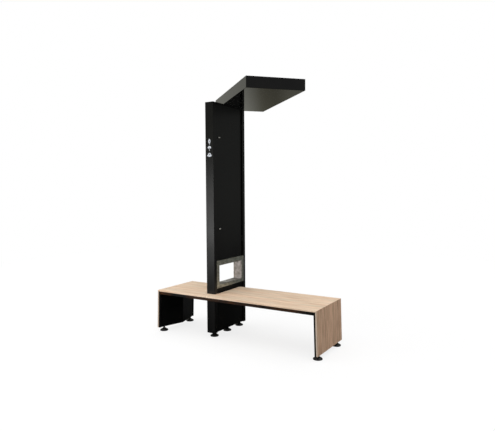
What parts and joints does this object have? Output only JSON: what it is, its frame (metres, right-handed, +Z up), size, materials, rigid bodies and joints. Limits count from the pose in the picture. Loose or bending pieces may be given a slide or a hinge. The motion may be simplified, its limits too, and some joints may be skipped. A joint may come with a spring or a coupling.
{
  "type": "solar charging bench",
  "caption": "Timber-faced bench with a slim steel tower through the seat, which holds a charging window, a service door and a turnable flat solar head.",
  "frame": {"origin": "on the ground, under the middle of the tower's middle foot", "axes": "+X along the seat towards its far end from the tower, +Y from the side that people sit down from towards the tower's rear, +Z up"},
  "size_m": [1.88, 1.234, 2.5],
  "materials": {
    "oiled_wood": "oiled light hardwood, fine straight grain",
    "black_paint": "black powder coat, satin to semi-gloss",
    "primed_steel": "thin black coat, matt",
    "stainless": "brushed stainless sheet",
    "bright_steel": "zinc plated",
    "foot_polymer": "moulded black polymer pad on a blackened stem",
    "seal_rubber": "matt",
    "dark_plastic": "fine moulded texture",
    "battery_case": "smooth moulded case",
    "solar_glass": "dark cells under glass",
    "aluminium": "clear anodised",
    "cable_jacket": "matt black jacket"
  },
  "bodies": {
    "bench": {"base_plate": "primed_steel", "battery": "battery_case", "battery_shelf": "primed_steel", "bearing_ring": "dark_plastic", "charge_controller": "dark_plastic", "charging_pad": "dark_plastic", "door_frame": "primed_steel", "door_seal": "seal_rubber", "equipment_plate": "primed_steel", "front_post": "black_paint", "front_rail": "black_paint", "fuse_block": "dark_plastic", "left_end_board": "oiled_wood", "left_foot_plate": "primed_steel", "left_leg_shell": "black_paint", "left_lower_panel": "black_paint", "left_rear_rail": "black_paint", "left_tower_rail": "black_paint", "left_upper_panel": "black_paint", "lower_hinge_leaf": "primed_steel", "lower_hinge_pin": "bright_steel", "middle_rail": "black_paint", "rear_post": "black_paint", "right_end_board": "oiled_wood", "right_foot_plate": "primed_steel", "right_leg_shell": "black_paint", "right_lower_panel": "black_paint", "right_rear_rail": "black_paint", "right_tower_rail": "black_paint", "seat_board": "oiled_wood", "swivel_cap": "bright_steel", "swivel_spigot": "primed_steel", "top_plate": "black_paint", "tower_cable": "cable_jacket", "upper_hinge_leaf": "primed_steel", "upper_hinge_pin": "bright_steel", "usb_lead": "cable_jacket", "usb_socket": "dark_plastic", "usb_supply": "dark_plastic", "window_left_frame": "stainless", "window_tunnel": "stainless"},
    "door": {"service_door": "black_paint"},
    "top_lock": {"upper_lock": "bright_steel"},
    "bottom_lock": {"lower_lock": "bright_steel"},
    "head": {"swivel_hub": "primed_steel", "head_tray": "black_paint", "left_head_rail": "primed_steel", "right_head_rail": "primed_steel", "module_frame": "aluminium", "module_laminate": "solar_glass", "junction_box": "dark_plastic", "head_cable": "cable_jacket"},
    "left_front_leveller": {"left_front_foot": "foot_polymer"},
    "left_rear_leveller": {"left_rear_foot": "foot_polymer"},
    "tower_front_leveller": {"tower_front_foot": "foot_polymer"},
    "tower_middle_leveller": {"tower_middle_foot": "foot_polymer"},
    "tower_rear_leveller": {"tower_rear_foot": "foot_polymer"},
    "right_front_leveller": {"right_front_foot": "foot_polymer"},
    "right_rear_leveller": {"right_rear_foot": "foot_polymer"}
  },
  "joints": [
    {"name": "head_swivel", "type": "hinge", "parent": "bench", "child": "head", "pos_m": [0, 0.245, 2.397], "axis": [0, 0, 1], "range_deg": [-47.8, 42.2]},
    {"name": "door_hinge", "type": "hinge", "parent": "bench", "child": "door", "pos_m": [0.0388, 0.2447, 1.586], "axis": [0, 0, 1], "range_deg": [0, 105]},
    {"name": "upper_lock_turn", "type": "hinge", "parent": "door", "child": "top_lock", "pos_m": [0.0235, -0.178, 2.04565], "axis": [-1, 0, 0], "range_deg": [0, 90]},
    {"name": "lower_lock_turn", "type": "hinge", "parent": "door", "child": "bottom_lock", "pos_m": [0.0235, -0.178, 1.11039], "axis": [-1, 0, 0], "range_deg": [0, 90]},
    {"name": "left_front_foot_screw", "type": "slide", "parent": "bench", "child": "left_front_leveller", "axis": [0, 0, 1], "range_m": [-0.025, 0]},
    {"name": "left_rear_foot_screw", "type": "slide", "parent": "bench", "child": "left_rear_leveller", "axis": [0, 0, 1], "range_m": [-0.025, 0]},
    {"name": "tower_front_foot_screw", "type": "slide", "parent": "bench", "child": "tower_front_leveller", "axis": [0, 0, 1], "range_m": [-0.025, 0]},
    {"name": "tower_middle_foot_screw", "type": "slide", "parent": "bench", "child": "tower_middle_leveller", "axis": [0, 0, 1], "range_m": [-0.025, 0]},
    {"name": "tower_rear_foot_screw", "type": "slide", "parent": "bench", "child": "tower_rear_leveller", "axis": [0, 0, 1], "range_m": [-0.025, 0]},
    {"name": "right_front_foot_screw", "type": "slide", "parent": "bench", "child": "right_front_leveller", "axis": [0, 0, 1], "range_m": [-0.025, 0]},
    {"name": "right_rear_foot_screw", "type": "slide", "parent": "bench", "child": "right_rear_leveller", "axis": [0, 0, 1], "range_m": [-0.025, 0]}
  ]
}
